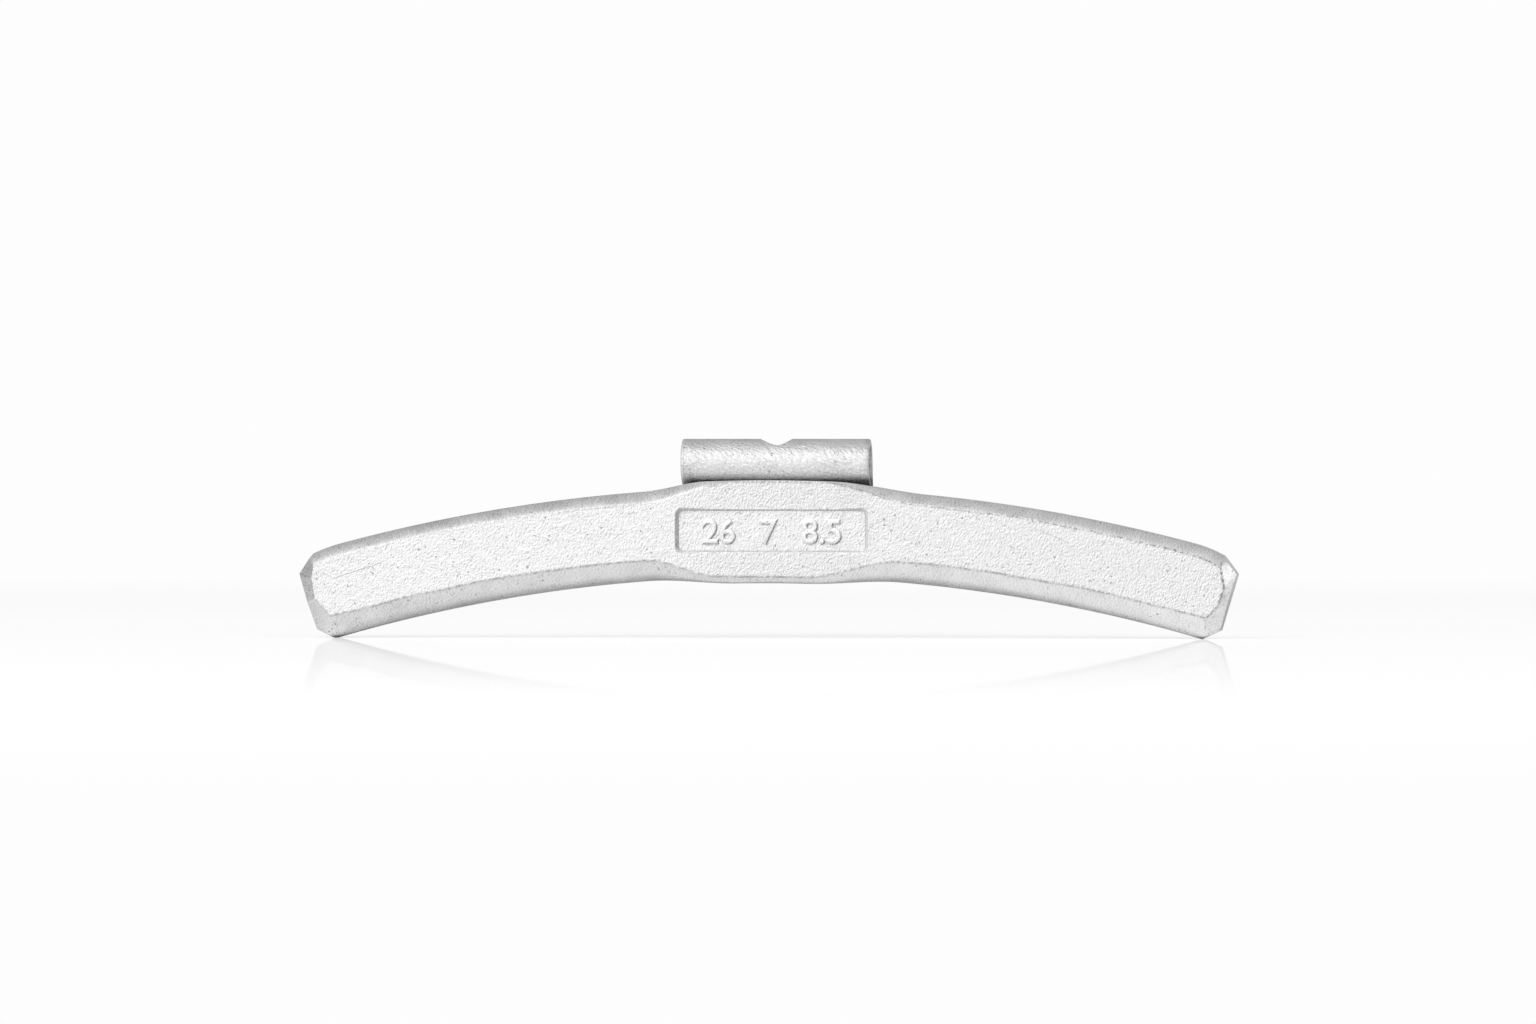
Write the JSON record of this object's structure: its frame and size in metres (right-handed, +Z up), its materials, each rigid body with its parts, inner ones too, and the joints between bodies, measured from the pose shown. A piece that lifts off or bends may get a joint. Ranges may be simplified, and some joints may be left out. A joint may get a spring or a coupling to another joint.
{
  "type": "wheel balance weight",
  "caption": "Curved clip-on wheel balance weight of coated steel, with a bevelled front, a pressed centre with a stamped pocket, and a spring hook that grips a wheel rim's flange.",
  "frame": {"origin": "under the middle of the weight's box, on the floor plane that the lower corners of its two ends stand on", "axes": "+X along the bar, -Y out of the marked front face, +Z up towards the spring hook"},
  "size_m": [0.1224, 0.0124, 0.026],
  "materials": {
    "body_coat": "satin",
    "clip_coat": "satin"
  },
  "bodies": {
    "root": {"weight_body": "body_coat", "spring_clip": "clip_coat"}
  },
  "joints": []
}
